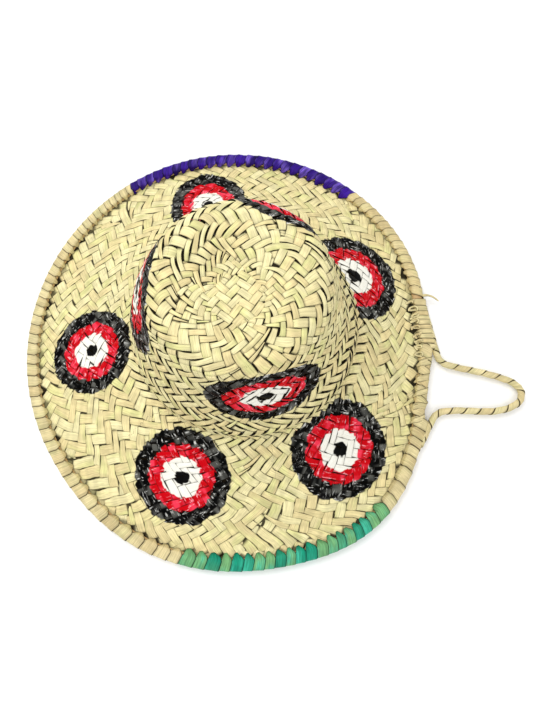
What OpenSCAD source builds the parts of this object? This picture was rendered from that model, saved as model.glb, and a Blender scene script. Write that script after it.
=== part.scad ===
// Plaited palm-leaf sun hat with a painted brim, a wrapped rim and a hanging loop.
// +Z is up and +X points to the hanging loop. The origin is the middle of the head
// opening, where the crown meets the brim. All sizes are in millimetres.

/* [Crown] */
// Outside radius of the crown at the head opening
crown_base_r = 95; // [88:0.5:100]
// Height of the head opening above the plane that the rim rests on
opening_h = 45; // [36:1:56]
// Height of the straight band round the head opening
band_h = 15; // [10:1:20]
// Outside radius of the crown at the shoulder
shoulder_r = 67; // [60:1:75]
// Height of the shoulder above the head opening
shoulder_z = 80; // [66:1:95]
// Radial reach of the rounded shoulder
shoulder_reach = 29; // [20:1:34]
// Rise of the rounded shoulder
shoulder_rise = 19; // [12:1:24]
// Depth of the dent in the crown's top
dent_depth = 3; // [0:0.5:6]
// Thickness of the plait, two strips and the air between them
plait_t = 2.4; // [1.8:0.1:3]

/* [Brim and rim] */
// Mean radius of the rim, to the middle of its binding
rim_mean_r = 185.5; // [180:0.5:190]
// Offset of the rim's middle from the crown's axis, along X
rim_off_x = -12.6; // [-16:0.2:0]
// Offset of the rim's middle from the crown's axis, along Y
rim_off_y = -7.4; // [-12:0.2:0]
// Ovalness of the rim: how far it is wider along Y than along X, each side
rim_oval = 3; // [0:0.5:5]
// How far the rim bulges beside the loop's lower foot
bulge_out = 9; // [0:1:10]
// How far the rim is drawn in where the loop hangs
dent_in = 12; // [0:1:13]
// How far the rim is drawn in at the left of the front
dent_left = 3; // [0:0.5:4]
// How sharply the brim falls away from the crown and levels out at the rim
brim_curve = 1.3; // [1:0.05:1.6]

/* [Binding] */
// Half the width of the binding
bind_half_w = 6; // [5.6:0.1:6.6]
// Half the height of the binding
bind_half_h = 5.2; // [5:0.1:5.6]
// Thickness of the wrapped strip
strip_t = 0.6; // [0.4:0.05:0.7]
// Half the width of the split hoops that clamp the edge of the brim
hoop_half_w = 4.6; // [4.2:0.1:4.8]
// Height of each split hoop
hoop_h = 3.05; // [2.6:0.05:3.1]

/* [Hanging loop] */
// Radius of the loop's cord without its wrapping
cord_r = 2.1; // [1.8:0.1:2.2]
// Outside radius of the wrapped cord
loop_r = 2.7; // [2.5:0.1:2.8]
// Distance of the lashed cord outside the middle of the binding
cord_out = 7.7; // [7.6:0.1:8]
// Distance of the loop's feet outside the middle of the binding
foot_out = 9.3; // [9.1:0.1:9.8]
// Gap between the lashed ends of the cord and the part that flexes
flex_gap = 0.4; // [0.3:0.1:0.8]

/* [Hidden] */

// Where one binding ends and the next starts, as angles round the rim's middle
purple_from = 52;
purple_to = 122;
green_from = 256.5;
green_to = 312;
lower_lash_from = 329;
lower_lash_to = 337;
upper_lash_from = 358.5;
upper_lash_to = 374;

// Angular gap left at each end of a binding or lashing
seam = 0.15;
// Angular steps of the swept rings
step_a = 3.75;
fine_a = 2;
// Gap between neighbouring pieces
clear = 0.15;

// Height of the middle of the rim
rim_z = bind_half_h - opening_h;
bore_r = crown_base_r - 2.5;
// Width of the brim's flat land inside the binding
land_w = 1.5;
hoop_base_v = plait_t / 2 + clear;
// How far the lashings reach outward, to take in the cord
wide_out = cord_out + cord_r + strip_t + 0.4;
natural = [0.84, 0.78, 0.55];
binding_tan = [0.80, 0.72, 0.52];

// Where the rim bulges and is drawn in: angle of the middle and half-width of each
bulge_a = [-52, 14];
loop_dent_a = [-4, 18];
loop_rise_a = [-2, 5];
left_dent_a = [-142, 16];
// How far the rim stands out again in the middle of the loop's dent
loop_rise = 4;

// The loop's route between its two feet, chosen by hand, level with the middle of the rim
loop_route = [[174, -22], [180, -25.5], [188, -28], [199, -30.5], [211, -33], [224, -36.5],
              [235.5, -40.5], [243, -45], [246.5, -51.5], [244.5, -58.5], [238, -63.5],
              [228, -67], [216, -68.5], [199, -68], [186, -67.5], [176, -68.5], [167, -71.5]];

// Bell curve of an angle: place is its middle and its half-width
function bump(a, place) =
    let (d = (a - place[0] + 540) % 360 - 180)
    exp(-d * d / (2 * place[1] * place[1]));

// Distance from the rim's middle to the middle of the binding, at angle a
function rim_r(a) =
    rim_mean_r - rim_oval * cos(2 * a) + bulge_out * bump(a, bulge_a)
    - dent_in * bump(a, loop_dent_a) + loop_rise * bump(a, loop_rise_a)
    - dent_left * bump(a, left_dent_a);

// A point beside the binding's middle: u outward, v upward
function rim_point(a, u, v) =
    [rim_off_x + (rim_r(a) + u) * cos(a), rim_off_y + (rim_r(a) + u) * sin(a), rim_z + v];

// Evenly spaced angles, no further apart than step
function spaced(from, to, step) =
    let (n = ceil((to - from) / step))
    [for (i = [0:n]) from + (to - from) * i / n];

function reversed(list) = [for (i = [len(list) - 1:-1:0]) list[i]];

// Half-angle of the mouth where the brim goes into the binding, outside and inside
mouth_outer = 19;
mouth_inner = 21;
clasp_steps = 12;
// The oval is drawn this much too high and then cut flat
flatten = 1.05;

// A flattened oval, open at the inner side where the brim goes in
function clasp(half_in, half_out, half_h, mouth) =
    [for (i = [0:clasp_steps])
        let (a = -180 + mouth + i * (360 - 2 * mouth) / clasp_steps)
        [cos(a) * (cos(a) < 0 ? half_in : half_out),
         max(-half_h, min(half_h, flatten * half_h * sin(a)))]];

function clasp_section(half_in, half_out, half_h) =
    concat(clasp(half_in, half_out, half_h, mouth_outer),
           reversed(clasp(half_in - strip_t, half_out - strip_t, half_h - strip_t, mouth_inner)));

cord_sides = 10;
function round_section(mid_u, r) =
    [for (i = [0:cord_sides - 1])
        let (a = i * 360 / cord_sides)
        [mid_u + r * cos(a), r * sin(a)]];

// Half-round section of a split hoop: side is 1 above the brim's edge and -1 below
hoop_steps = 6;
function hoop_section(side) =
    [for (i = [0:hoop_steps])
        let (a = i * 180 / hoop_steps)
        [side * hoop_half_w * cos(a), side * (hoop_base_v + hoop_h * sin(a))]];

function ring_on_rim(section, a) = [for (p = section) rim_point(a, p[0], p[1])];

// A flat end: quads between opposite points of its ring, which suit a hollow section too
function end_quads(first, n) =
    [for (j = [0:n / 2 - 2]) [first + j, first + j + 1, first + n - 2 - j, first + n - 1 - j]];

// Joins rings, each of the same even number of points, into one closed solid
module skin(rings, closed) {
    n = len(rings[0]);
    m = len(rings);
    last = closed ? m - 1 : m - 2;
    sides = [for (i = [0:last])
        for (j = [0:n - 1])
            let (a = i * n, b = ((i + 1) % m) * n, k = (j + 1) % n)
            [a + j, b + j, b + k, a + k]];
    far_end = [for (quad = end_quads((m - 1) * n, n)) reversed(quad)];
    caps = closed ? [] : concat(end_quads(0, n), far_end);
    polyhedron([for (r = rings) each r], concat(sides, caps), convexity = 10);
}

module rim_sleeve(from, to, section, step) {
    skin([for (a = spaced(from, to, step)) ring_on_rim(section, a)], false);
}

module binding(from, to) {
    rim_sleeve(from + seam, to - seam, clasp_section(bind_half_w, bind_half_w, bind_half_h), step_a);
}

module lashing(from, to) {
    rim_sleeve(from + seam, to - seam, clasp_section(bind_half_w, wide_out, bind_half_h), fine_a);
}

// The rounded shoulder starts where it carries the wall's lean on
wall_lean = atan((crown_base_r - shoulder_r) / (shoulder_z - band_h));
shoulder_a = atan(tan(wall_lean) * shoulder_rise / shoulder_reach);
shoulder_mid = [shoulder_r - shoulder_reach * cos(shoulder_a),
                shoulder_z - shoulder_rise * sin(shoulder_a)];
arc_steps = 8;
dent_steps = 4;

// The shoulder from the wall to the top, as [r, z], inset from the outside of the plait
function shoulder_arc(inset) =
    [for (i = [0:arc_steps])
        let (a = shoulder_a + i * (90 - shoulder_a) / arc_steps)
        shoulder_mid + [(shoulder_reach - inset) * cos(a), (shoulder_rise - inset) * sin(a)]];

// The shoulder and the dented top as far as the crown's axis
function top_profile(inset) =
    let (edge = [shoulder_mid[0], shoulder_mid[1] + shoulder_rise - inset])
    concat(shoulder_arc(inset),
           [for (i = [1:dent_steps])
               let (t = i / dent_steps)
               [edge[0] * (1 - t), edge[1] - dent_depth * sin(t * 90)]]);

module crown_top() {
    color(natural)
        rotate_extrude($fn = 96)
            polygon(concat(top_profile(0), reversed(top_profile(plait_t))));
}

module crown_wall() {
    outer_top = shoulder_arc(0)[0];
    inner_top = shoulder_arc(plait_t)[0];
    color(natural)
        rotate_extrude($fn = 96)
            polygon([[bore_r, 0], [crown_base_r, 0],
                     [crown_base_r, band_h], [outer_top[0], outer_top[1] - clear],
                     [inner_top[0], inner_top[1] - clear], [bore_r, band_h]]);
}

// A point of the brim: t runs from the crown (0) to the flat land at the rim (1), and
// side is 1 on top and -1 below
half_t = plait_t / 2;
brim_inner_r = crown_base_r + 0.2;
brim_edge_u = hoop_half_w - 0.6;
brim_steps = 6;
function brim_point(a, t, side) =
    let (inner = brim_inner_r * [cos(a), sin(a)])
    let (outer = rim_point(a, -bind_half_w - land_w, 0))
    let (fall = 1 - pow(1 - t, brim_curve))
    [inner[0] + (outer[0] - inner[0]) * t,
     inner[1] + (outer[1] - inner[1]) * t,
     half_t + (rim_z - half_t) * fall + side * half_t];

function brim_ring(a) =
    concat([for (i = [0:brim_steps]) brim_point(a, i / brim_steps, 1)],
           [rim_point(a, brim_edge_u, half_t), rim_point(a, brim_edge_u, -half_t)],
           [for (i = [brim_steps:-1:0]) brim_point(a, i / brim_steps, -1)]);

module brim() {
    color(natural)
        skin([for (a = [0:step_a:360 - step_a]) reversed(brim_ring(a))], true);
}

module rim_hoop(side) {
    skin([for (a = [0:step_a:360 - step_a]) ring_on_rim(hoop_section(side), a)], true);
}

module rim_hoop_upper() {
    color("tan") rim_hoop(1);
}

module rim_hoop_lower() {
    color("tan") rim_hoop(-1);
}

module binding_natural_left() {
    color(binding_tan) binding(purple_to, green_from);
}

module binding_purple() {
    color([0.24, 0.08, 0.60]) binding(purple_from, purple_to);
}

module binding_natural_back() {
    color(binding_tan) binding(upper_lash_to - 360, purple_from);
}

module binding_green() {
    color([0.10, 0.60, 0.48]) binding(green_from, green_to);
}

module binding_natural_front() {
    color(binding_tan) binding(green_to, lower_lash_from);
}

module binding_natural_gap() {
    color(binding_tan) binding(lower_lash_to, upper_lash_from);
}

// The two ends of the loop's cord, lashed along the outside of the rim. Each stops
// inside its lashing, a little way from its two ends.
foot_inset = 0.3;
blind_inset = 1;
module cord_end(from, to) {
    rim_sleeve(from, to, round_section(cord_out, cord_r), fine_a);
}

module cord_end_upper() {
    color("khaki") cord_end(upper_lash_from + foot_inset, upper_lash_to - blind_inset);
}

module cord_end_lower() {
    color("khaki") cord_end(lower_lash_from + blind_inset, lower_lash_to - foot_inset);
}

// The loop's feet, and so its line of flexing, stand clear of the lashings' ends
foot_a = (loop_r + flex_gap) / rim_mean_r * 180 / PI;
foot_upper = rim_point(upper_lash_from - foot_a, foot_out, 0);
foot_lower = rim_point(lower_lash_to + foot_a, foot_out, 0);

module lashing_upper() {
    color(binding_tan) lashing(upper_lash_from, upper_lash_to);
}

module lashing_lower() {
    color(binding_tan) lashing(lower_lash_from, lower_lash_to);
}

// Knots in a row along the top of the upper lashing
knot_r = 1.6;
knot_count = 6;
knot_step_a = 3;
first_knot_a = upper_lash_from + 1.2;
knot_u = -1.5;
module lashing_knots() {
    color("khaki")
        for (i = [0:knot_count - 1])
            translate(rim_point(first_knot_a + i * knot_step_a, knot_u, bind_half_h + knot_r + clear))
                sphere(r = knot_r, $fn = 24);
}

// A loose end of strip that sticks out past the upper lashing and curls back: t is 0 to 1
loose_half_w = 1.6;
loose_reach = 13;
loose_swing_a = 2.4;
loose_rise = 3;
loose_steps = 5;
function loose_point(t) =
    rim_point(upper_lash_to + 0.6 - loose_swing_a * t * t,
              bind_half_w + 0.3 + loose_reach * t,
              2 + loose_rise * (t - t * t));
function loose_ring(t) =
    let (w = [0, loose_half_w * (1 - t / 2), 0])
    let (h = [0, 0, strip_t / 2])
    [for (corner = [-w - h, w - h, w + h, -w + h]) loose_point(t) + corner];
module loose_strip_end() {
    color("khaki")
        skin([for (i = [0:loose_steps]) loose_ring(i / loose_steps)], false);
}

// Smooth curve through the loop's points: twice as many points as loop_route has
loop_ctrl = concat([[foot_upper[0], foot_upper[1]]], loop_route, [[foot_lower[0], foot_lower[1]]]);
loop_spans = len(loop_ctrl) - 1;
function ctrl(i) = loop_ctrl[max(0, min(loop_spans, i))];
function spline(i, t) =
    0.5 * (2 * ctrl(i) + (ctrl(i + 1) - ctrl(i - 1)) * t
        + (2 * ctrl(i - 1) - 5 * ctrl(i) + 4 * ctrl(i + 1) - ctrl(i + 2)) * t * t
        + (3 * ctrl(i) - ctrl(i - 1) - 3 * ctrl(i + 1) + ctrl(i + 2)) * t * t * t);
loop_line = [for (i = [0:2 * loop_spans]) spline(floor(i / 2), (i % 2) / 2)];

function heading(i) =
    let (d = loop_line[min(len(loop_line) - 1, i + 1)] - loop_line[max(0, i - 1)])
    d / norm(d);
function ring_on_loop(i, section) =
    let (h = heading(i))
    [for (p = section) [loop_line[i][0] - p[0] * h[1], loop_line[i][1] + p[0] * h[0], rim_z + p[1]]];
module loop_sleeve(section) {
    skin([for (i = [0:len(loop_line) - 1]) reversed(ring_on_loop(i, section))], false);
}

module loop_cord() {
    color("khaki") loop_sleeve(round_section(0, cord_r));
}

// The strip wound round the cord, closed up to a hair at its overlap below
wrap_gap = 8;
wrap_steps = 10;
function wrap_arc(r) =
    [for (i = [0:wrap_steps])
        let (a = -90 + wrap_gap + i * (360 - 2 * wrap_gap) / wrap_steps)
        r * [cos(a), sin(a)]];
wrap_section = concat(wrap_arc(loop_r), reversed(wrap_arc(cord_r + clear)));
module loop_wrapping() {
    color(binding_tan) loop_sleeve(wrap_section);
}

crown_top();
crown_wall();
brim();
rim_hoop_upper();
rim_hoop_lower();
binding_natural_left();
binding_purple();
binding_natural_back();
binding_green();
binding_natural_front();
binding_natural_gap();
cord_end_upper();
cord_end_lower();
lashing_upper();
lashing_lower();
lashing_knots();
loose_strip_end();
loop_cord();
loop_wrapping();
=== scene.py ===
"""Plaited palm-leaf sun hat with painted eyes: its looks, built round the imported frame.

Metres, +Z up. Design sizes are written in millimetres and multiplied by MM where they meet Blender.
"""
import math

import bpy
import numpy as np
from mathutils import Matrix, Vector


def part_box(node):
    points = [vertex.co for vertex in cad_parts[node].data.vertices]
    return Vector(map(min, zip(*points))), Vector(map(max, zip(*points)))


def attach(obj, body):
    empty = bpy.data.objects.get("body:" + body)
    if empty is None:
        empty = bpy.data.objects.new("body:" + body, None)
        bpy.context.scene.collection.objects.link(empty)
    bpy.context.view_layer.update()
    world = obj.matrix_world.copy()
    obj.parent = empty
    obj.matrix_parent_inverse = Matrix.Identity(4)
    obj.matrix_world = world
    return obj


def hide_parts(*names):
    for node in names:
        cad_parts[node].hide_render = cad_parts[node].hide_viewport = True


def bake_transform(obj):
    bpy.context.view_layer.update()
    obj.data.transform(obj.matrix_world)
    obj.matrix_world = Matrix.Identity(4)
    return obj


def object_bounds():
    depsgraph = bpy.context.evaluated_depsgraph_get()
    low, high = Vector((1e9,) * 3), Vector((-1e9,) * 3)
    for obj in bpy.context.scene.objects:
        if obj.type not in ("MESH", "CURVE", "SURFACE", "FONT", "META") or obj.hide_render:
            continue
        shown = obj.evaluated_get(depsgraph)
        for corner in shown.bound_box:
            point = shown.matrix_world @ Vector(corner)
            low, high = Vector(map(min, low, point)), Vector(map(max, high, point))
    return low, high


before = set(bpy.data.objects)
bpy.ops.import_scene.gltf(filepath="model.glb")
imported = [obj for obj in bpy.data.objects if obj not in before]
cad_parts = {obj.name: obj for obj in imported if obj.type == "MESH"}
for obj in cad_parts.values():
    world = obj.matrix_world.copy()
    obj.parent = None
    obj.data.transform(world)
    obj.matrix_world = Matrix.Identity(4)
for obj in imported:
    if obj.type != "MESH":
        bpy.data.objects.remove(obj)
CAD_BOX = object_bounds()
MM = 0.001
TAU = math.tau


# ------ camera, light and floor
# The camera's place, tilt from straight down (degrees) and lens (mm)
CAMERA_AT = (0.01707, -0.12645, 0.43463)
CAMERA_TILT = 12.96
CAMERA_LENS = 27.04
CLIP_START = 0.01
FLOOR_SIZE = 6.0
FLOOR_COLOUR = (0.96, 0.96, 0.96, 1)
FLOOR_ROUGHNESS = 0.9
SKY_STRENGTH = 0.66
# Each soft light's place, width and power
KEY_LIGHT = ((-0.55, 0.62, 1.2), 0.9, 12.0)
FILL_LIGHT = ((0.25, -0.8, 1.3), 1.4, 8.5)


def add_object(name, data):
    """A new object in the scene."""
    made = bpy.data.objects.new(name, data)
    bpy.context.scene.collection.objects.link(made)
    return made


def add_camera():
    data = bpy.data.cameras.new("camera")
    data.lens = CAMERA_LENS
    data.clip_start = CLIP_START
    camera = add_object("camera", data)
    camera.location = CAMERA_AT
    camera.rotation_euler = (math.radians(CAMERA_TILT), 0, 0)
    bpy.context.scene.camera = camera


def add_area_light(name, place, size, power):
    """A square soft light at place, facing the hat."""
    data = bpy.data.lights.new(name, "AREA")
    data.size = size
    data.energy = power
    light = add_object(name, data)
    light.location = place
    light.rotation_euler = (-light.location).to_track_quat("-Z", "Y").to_euler()


def add_lights():
    """An even white sky and two soft lights."""
    world = bpy.data.worlds.new("studio")
    bpy.context.scene.world = world
    world.use_nodes = True
    sky = world.node_tree.nodes["Background"]
    sky.inputs["Color"].default_value = (1, 1, 1, 1)
    sky.inputs["Strength"].default_value = SKY_STRENGTH
    add_area_light("key", *KEY_LIGHT)
    add_area_light("fill", *FILL_LIGHT)
    bpy.context.scene.view_settings.view_transform = "Standard"


def add_floor():
    """A wide white floor under the rim."""
    low = CAD_BOX[0][2]
    half = FLOOR_SIZE / 2
    corners = [(-half, -half, low), (half, -half, low), (half, half, low), (-half, half, low)]
    mesh = bpy.data.meshes.new("floor")
    mesh.from_pydata(corners, [], [(0, 1, 2, 3)])
    white = Nodes("studio_white")
    white.shader.inputs["Base Color"].default_value = FLOOR_COLOUR
    white.shader.inputs["Roughness"].default_value = FLOOR_ROUGHNESS
    mesh.materials.append(white.material)
    add_object("floor", mesh)


# ------ small helpers
def linear(red, green, blue):
    """Linear colour of an 8-bit sRGB one."""
    return tuple(((c / 255 + 0.055) / 1.055) ** 2.4 if c > 10 else c / 3295 for c in (red, green, blue))


def smooth(x):
    x = np.clip(x, 0, 1)
    return x * x * (3 - 2 * x)


def bump(a, mid, width):
    """Bell curve of an angle in degrees, round a full turn."""
    d = (a - mid + 540) % 360 - 180
    return np.exp(-d * d / (2 * width * width))


def unit(vectors):
    return vectors / np.linalg.norm(vectors, axis=-1, keepdims=True)


def run_along(line):
    """Distance of each of a line's points from its first, along the line."""
    return np.concatenate([[0], np.cumsum(np.linalg.norm(np.diff(line, axis=0), axis=1))])


def bell(reach, width):
    """Weights of a rounding filter that takes in this many neighbours each way."""
    weights = np.exp(-np.arange(-reach, reach + 1) ** 2 / (2 * width ** 2))
    return weights / weights.sum()


def rounded(values, weights, axis, **ends):
    """Values (rows, columns) averaged with their neighbours along an axis, padded at its ends."""
    reach = len(weights) // 2
    beside = [(reach, reach) if k == axis else (0, 0) for k in (0, 1)]
    return np.apply_along_axis(np.convolve, axis, np.pad(values, beside, **ends), weights, "valid")


def node_points(name):
    """A CAD node's vertices, in millimetres."""
    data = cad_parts[name].data
    flat = np.zeros(len(data.vertices) * 3)
    data.vertices.foreach_get("co", flat)
    return flat.reshape(-1, 3) / MM


# ------ mesh building
class Shape:
    """Gathers closed skins, each a row of rings, with values for the materials on every vertex."""

    def __init__(self):
        self.points = []
        self.faces = []
        self.values = {}
        self.count = 0

    def skin(self, rings, **values):
        """Joins rings (rows, around, 3) in mm, capped at both ends. Values fit (rows, around[, 3])."""
        rows, around = rings.shape[:2]
        index = self.count + np.arange(rows * around).reshape(rows, around)
        turned = np.roll(index, -1, axis=1)
        quads = np.stack([index[:-1], turned[:-1], turned[1:], index[1:]], axis=-1)
        self.faces += quads.reshape(-1, 4).tolist()
        self.faces += [index[0][::-1].tolist(), index[-1].tolist()]
        self.points.append(rings.reshape(-1, 3))
        self.count += rows * around
        for name, value in values.items():
            value = np.asarray(value, float)
            full = np.broadcast_to(value, (rows, around, 3)[:max(value.ndim, 2)])
            self.values.setdefault(name, []).append(full.reshape(rows * around, -1))

    def piece(self, name, material):
        mesh = bpy.data.meshes.new(name)
        mesh.from_pydata((np.concatenate(self.points) * MM).tolist(), [], self.faces)
        for key, parts in self.values.items():
            data = np.concatenate(parts).astype(np.float32)
            is_vector = data.shape[1] == 3
            layer = mesh.attributes.new(key, "FLOAT_VECTOR" if is_vector else "FLOAT", "POINT")
            layer.data.foreach_set("vector" if is_vector else "value", data.ravel())
        mesh.shade_smooth()
        mesh.materials.append(material)
        return add_object(name, mesh)


def hat_piece(shape, name, material, node):
    """A shape's piece, which rides on the hat and stands for a CAD node."""
    piece = shape.piece(name, material)
    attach(piece, "hat")
    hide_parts(node)


# Section of a strip: across, up as a share of half its thickness, and where it is its top
SECTION_ACROSS = np.array([-1, -0.88, 0, 0.88, 1, 0.88, 0, -0.88])
SECTION_UP = np.array([0, 0.85, 1, 0.85, 0, -1, -1, -1])
SECTION_TOP = np.array([0.7, 1, 1, 1, 0.7, 0, 0, 0])


def ribbon(shape, line, up, half_width, thick, crown=0.12, tilt=0, on_brim=None, **values):
    """A strip along line (rows, 3), its face turned to up. half_width and tilt may vary along it.
    strip is its own number, which sets its grain. It bears the eyes' paint where on_brim is given."""
    along = unit(np.gradient(line, axis=0))
    side = unit(np.cross(along, up))
    face = unit(np.cross(side, along))
    rows = len(line)
    half = np.broadcast_to(half_width, rows)[:, None]
    lean = np.broadcast_to(tilt, rows)[:, None]
    across = SECTION_ACROSS * half
    lift = SECTION_UP * thick / 2 + crown * (1 - SECTION_ACROSS ** 2) + lean * SECTION_ACROSS
    rings = line[:, None] + side[:, None] * across[..., None] + face[:, None] * lift[..., None]
    run = run_along(line)
    number = values.pop("strip")
    grain = np.stack(np.broadcast_arrays(across, run[:, None], np.full(across.shape, float(number))), axis=-1)
    if on_brim is not None:
        values["eye"] = paint_vector(rings, on_brim)
    shape.skin(rings, grain=grain, upside=SECTION_TOP, edge=np.abs(SECTION_ACROSS), **values)


# ------ the hat's surface
# The CAD crown: its outer radius at the opening and at the shoulder, and the shoulder's height
BASE_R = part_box("crown_wall")[1][0] / MM
SHOULDER_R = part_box("crown_top")[1][0] / MM
SHOULDER_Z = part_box("crown_wall")[1][2] / MM
# Height of the straight band at the opening, how far in and up the shoulder rounds over, dip of the top,
# thickness of the plait and half-width of the rim's hoops
BAND_H = 15
REACH = 29
RISE = 19
DENT = 3
PLAIT = 2.4
HOOP_HALF_W = 4.6
RIM_Z = (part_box("rim_hoop_upper")[0][2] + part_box("rim_hoop_lower")[1][2]) / 2 / MM
# How the brim falls (1: straight, above 1: steeper near the crown), how far out it goes for each mm along it,
# how far in from the rim's middle line its level edge reaches, and how far along the hat the surface is known
BRIM_FALL = 1.3
BRIM_RUN = 0.9
LAND = 7.5
LAST_S = 300
# Where the plaiting starts on the crown's top, and the dent pressed into it: middle, depth and half-width
POLE = (1.0, -12.0)
DENT_AT = (-13, 17)
DENT_DEPTH = 6.5
DENT_WIDTH = 14
# How far the soft crown leans sideways, and the height above which it leans that far
LEAN = (-4.0, 4.5, 0.0)
LEAN_HEIGHT = 50
# How far the soft crown is pushed in (or out, below 0) at these heights, strongest at this angle (degrees)
# and fading out between these two distances from the axis
PUSH_ANGLE = 35
PUSH_HEIGHTS = (-8, 8, 22, 40, 58, 76)
PUSHED = (0, 3.0, 6.0, 4.8, 0, -3.3)
PUSH_RADII = (25, 60)
# Where the strips are jumbled by the dent, and by how much more than elsewhere
TANGLE_AT = (-8, 27)
TANGLE = 0.8
# Where the plait is loosest, half-width of that place, and how much narrower and higher its strips are
LOOSE_AT = (-32, 22)
LOOSE_WIDTH = 20
LOOSE = 0.17
LOOSE_LIFT = 0.75


def rim_outline():
    """The rim's middle line as angle about the crown's axis, in degrees, and distance."""
    hoop = node_points("rim_hoop_upper")
    angle = np.degrees(np.arctan2(hoop[:, 1], hoop[:, 0])) % 360
    reach = np.hypot(hoop[:, 0], hoop[:, 1])
    cells = (angle / 3.75).astype(int)
    outer = np.array([[angle[cells == c][reach[cells == c].argmax()], reach[cells == c].max()]
                      for c in np.unique(cells)])
    outer = outer[outer[:, 0].argsort()]
    return outer[:, 0], outer[:, 1] - HOOP_HALF_W


RIM_ANGLE, RIM_REACH = rim_outline()


def rim_reach(degrees):
    return np.interp(np.asarray(degrees) % 360, RIM_ANGLE, RIM_REACH, period=360)


def crown_line():
    """Middle of the plait from the centre of the top down to the head opening: (radius, height) rows.
    The shoulder is an arc of an ellipse, and first is its angle where it meets the wall."""
    half = PLAIT / 2
    lean = math.atan((BASE_R - SHOULDER_R) / (SHOULDER_Z - BAND_H))
    first = math.atan(math.tan(lean) * RISE / REACH)
    mid_r = SHOULDER_R - REACH * math.cos(first)
    mid_z = SHOULDER_Z - RISE * math.sin(first)
    top = [(mid_r * t, mid_z + RISE - half - DENT * math.sin((1 - t) * math.pi / 2))
           for t in np.linspace(0, 1, 30)]
    arc = [(mid_r + (REACH - half) * math.cos(a), mid_z + (RISE - half) * math.sin(a))
           for a in np.linspace(math.pi / 2, first, 30)[1:]]
    wall = [(BASE_R - half, BAND_H), (BASE_R - half, half)]
    return np.array(top + arc + wall)


def even_rows(line, step):
    """The same line with points every step along it."""
    run = run_along(line)
    at = np.arange(0, run[-1] + 1e-6, step)
    return np.stack([np.interp(at, run, line[:, k]) for k in range(line.shape[1])], axis=1)


def spline(points, per_span):
    """Smooth curve through points, as many rows as per_span for each pair."""
    ends = np.concatenate([2 * points[:1] - points[1:2], points, 2 * points[-1:] - points[-2:-1]])
    t = np.linspace(0, 1, per_span, endpoint=False)[:, None]
    rows = []
    for a, b, c, d in zip(ends, ends[1:], ends[2:], ends[3:]):
        square = (2 * a - 5 * b + 4 * c - d) * t ** 2
        cube = (3 * b - a - 3 * c + d) * t ** 3
        rows.append(0.5 * (2 * b + (c - a) * t + square + cube))
    return np.concatenate(rows + [points[-1:]])


CROWN = even_rows(crown_line(), 1.0)
BASE_S = len(CROWN) - 1
SHOULDER_S = int(np.argmax(CROWN[:, 0] > SHOULDER_R - 2))


def brim_height(theta, reach):
    """Height of the middle of the brim at angle theta (radians) and distance reach from the crown's axis."""
    inner = BASE_R - PLAIT / 2
    outer = rim_reach(np.degrees(theta)) - LAND
    t = np.clip((reach - inner) / (outer - inner), 0, 1)
    return PLAIT / 2 + (RIM_Z - PLAIT / 2) * (1 - (1 - t) ** BRIM_FALL)


def crown_height(x, y):
    """Height of the crown's top over the point x, y: the CAD profile with the hand-pressed dent on it."""
    radius = np.hypot(x, y)
    top = CROWN[:SHOULDER_S]
    dent = DENT_DEPTH * np.exp(-((x - DENT_AT[0]) ** 2 + (y - DENT_AT[1]) ** 2) / (2 * DENT_WIDTH ** 2))
    return np.interp(radius, top[:, 0], top[:, 1]) - dent


def build_surface():
    """Points and normals of the plait's middle on a grid of whole degrees and millimetres along the hat."""
    theta = np.radians(np.arange(361))[:, None]
    s = np.arange(LAST_S)[None]
    crown_s = np.minimum(s, BASE_S)
    reach = CROWN[crown_s, 0] + np.maximum(s - BASE_S, 0) * BRIM_RUN
    height = np.where(s <= BASE_S, CROWN[crown_s, 1], brim_height(theta, reach))
    reach, height = np.broadcast_arrays(reach, height)
    near_opening = np.clip((40 - np.abs(s - BASE_S)) / 10, 0, 1)
    soft = [rounded(values, bell(9, 3.0), 1, mode="edge") for values in (reach, height)]
    reach = reach + (soft[0] - reach) * near_opening
    height = height + (soft[1] - height) * near_opening
    shift = np.clip(1 - s / SHOULDER_S, 0, 1) ** 1.5
    x, y = reach * np.cos(theta) + POLE[0] * shift, reach * np.sin(theta) + POLE[1] * shift
    blend = smooth((SHOULDER_S - 4 - s) / 12)
    height = height + blend * (crown_height(x, y) - height)
    points = np.stack([x, y, height], axis=-1)
    down = np.gradient(points, axis=1)
    around = np.stack([-np.sin(theta) + 0 * reach, np.cos(theta) + 0 * reach, 0 * reach], axis=-1)
    return points, unit(np.cross(down, around))


SURFACE, NORMALS = build_surface()


def leaned(points, way=1):
    """Points moved by the crown's lean and push, or back by them where way is -1."""
    share = smooth(points[..., 2:] / LEAN_HEIGHT)
    x, y, z = np.moveaxis(points, -1, 0)
    angle = np.arctan2(y, x)
    near, far = PUSH_RADII
    side = np.clip(np.cos(angle - np.radians(PUSH_ANGLE)), 0, 1) ** 2
    side = side * smooth((np.hypot(x, y) - near) / (far - near))
    push = side * np.interp(z, PUSH_HEIGHTS, PUSHED)
    inward = np.stack([-np.cos(angle), -np.sin(angle), 0 * angle], axis=-1)
    return points + way * (share * np.array(LEAN) + push[..., None] * inward)


def on_hat(theta, s):
    """Point and normal of the plait's middle at angle theta (radians) and distance s down the hat."""
    a = np.degrees(theta) % 360
    s = np.clip(s, 0, LAST_S - 1.001)
    i, j = a.astype(int), s.astype(int)
    fa, fs = (a - i)[..., None], (s - j)[..., None]
    found = []
    for grid in (SURFACE, NORMALS):
        near = grid[i, j] * (1 - fs) + grid[i, j + 1] * fs
        far = grid[i + 1, j] * (1 - fs) + grid[i + 1, j + 1] * fs
        found.append(near * (1 - fa) + far * fa)
    return leaned(found[0]), unit(found[1])


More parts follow.
